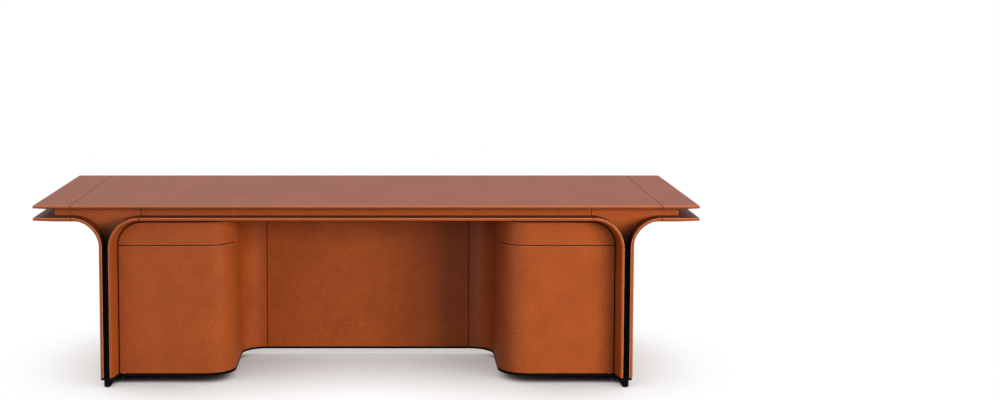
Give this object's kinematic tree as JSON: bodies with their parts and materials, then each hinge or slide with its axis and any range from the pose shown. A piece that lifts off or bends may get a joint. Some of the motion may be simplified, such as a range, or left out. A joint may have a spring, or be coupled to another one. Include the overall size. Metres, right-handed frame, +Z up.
{
  "type": "executive desk",
  "caption": "Long leather-clad desk with bent wing legs, rounded pedestals holding drawers and doors, a knee space and black steel feet.",
  "frame": {"origin": "on the floor, under the middle of the work top", "axes": "+X to the sitter's right, +Y towards the visitor, +Z up"},
  "size_m": [2.7, 1, 0.75],
  "materials": {
    "cognac_leather": "satin, fine grain",
    "black_steel": "matt powder coat",
    "walnut": "satin lacquer",
    "zinc_steel": "zinc plated",
    "dark_nylon": "moulded matt"
  },
  "bodies": {
    "desk": {"top_centre_panel": "cognac_leather", "left_top_end_panel": "cognac_leather", "right_top_end_panel": "cognac_leather", "apron_front_rail": "cognac_leather", "apron_back_rail": "cognac_leather", "left_front_fork": "cognac_leather", "right_front_fork": "cognac_leather", "left_back_fork": "cognac_leather", "right_back_fork": "cognac_leather", "left_apron_end_rail": "cognac_leather", "right_apron_end_rail": "cognac_leather", "left_wing": "cognac_leather", "right_wing": "cognac_leather", "left_outer_leg": "cognac_leather", "right_outer_leg": "cognac_leather", "left_inner_leg": "cognac_leather", "right_inner_leg": "cognac_leather", "arch_panel": "cognac_leather", "left_knee_wall": "cognac_leather", "right_knee_wall": "cognac_leather", "modesty_panel": "cognac_leather", "back_centre_panel": "cognac_leather", "left_back_panel": "cognac_leather", "right_back_panel": "cognac_leather", "left_leg_spine": "black_steel", "right_leg_spine": "black_steel", "left_foot": "black_steel", "right_foot": "black_steel", "left_pedestal_base": "black_steel", "right_pedestal_base": "black_steel", "centre_base_strip": "black_steel", "subframe_long_beams": "black_steel", "subframe_cross_beams": "black_steel", "door_pivot_plates": "black_steel", "left_outer_side": "walnut", "right_outer_side": "walnut", "left_cupboard_floor": "walnut", "right_cupboard_floor": "walnut", "left_divider": "walnut", "right_divider": "walnut", "left_shelf": "walnut", "right_shelf": "walnut", "shelf_brackets": "zinc_steel", "runner_cabinet_members": "zinc_steel", "floor_glides": "dark_nylon", "latch_housings": "dark_nylon"},
    "left_drawer": {"left_drawer_front": "cognac_leather", "left_drawer_tray": "walnut", "left_drawer_rails": "zinc_steel"},
    "left_runner": {"left_runner_middles": "zinc_steel"},
    "left_door": {"left_door": "cognac_leather", "left_door_pins": "zinc_steel"},
    "left_latch": {"left_latch_plunger": "dark_nylon"},
    "right_drawer": {"right_drawer_front": "cognac_leather", "right_drawer_tray": "walnut", "right_drawer_rails": "zinc_steel"},
    "right_runner": {"right_runner_middles": "zinc_steel"},
    "right_door": {"right_door": "cognac_leather", "right_door_pins": "zinc_steel"},
    "right_latch": {"right_latch_plunger": "dark_nylon"}
  },
  "joints": [
    {"name": "left_drawer_slide", "type": "slide", "parent": "desk", "child": "left_drawer", "axis": [0, -1, 0], "range_m": [0, 0.38]},
    {"name": "left_runner_slide", "type": "slide", "parent": "desk", "child": "left_runner", "axis": [0, -1, 0], "range_m": [0, 0.19]},
    {"name": "left_door_hinge", "type": "hinge", "parent": "desk", "child": "left_door", "pos_m": [-1.003, -0.417, 0.3], "axis": [0, 0, -1], "range_deg": [0, 95]},
    {"name": "left_latch_push", "type": "slide", "parent": "desk", "child": "left_latch", "axis": [0, 1, 0], "range_m": [0, 0.004], "stiffness_N_per_m": 600},
    {"name": "right_drawer_slide", "type": "slide", "parent": "desk", "child": "right_drawer", "axis": [0, -1, 0], "range_m": [0, 0.38]},
    {"name": "right_runner_slide", "type": "slide", "parent": "desk", "child": "right_runner", "axis": [0, -1, 0], "range_m": [0, 0.19]},
    {"name": "right_door_hinge", "type": "hinge", "parent": "desk", "child": "right_door", "pos_m": [1.003, -0.417, 0.3], "axis": [0, 0, 1], "range_deg": [0, 95]},
    {"name": "right_latch_push", "type": "slide", "parent": "desk", "child": "right_latch", "axis": [0, 1, 0], "range_m": [0, 0.004], "stiffness_N_per_m": 600}
  ],
  "couplings": [
    {"joint": "left_runner_slide", "follows": "left_drawer_slide", "ratio": 0.5},
    {"joint": "right_runner_slide", "follows": "right_drawer_slide", "ratio": 0.5}
  ]
}
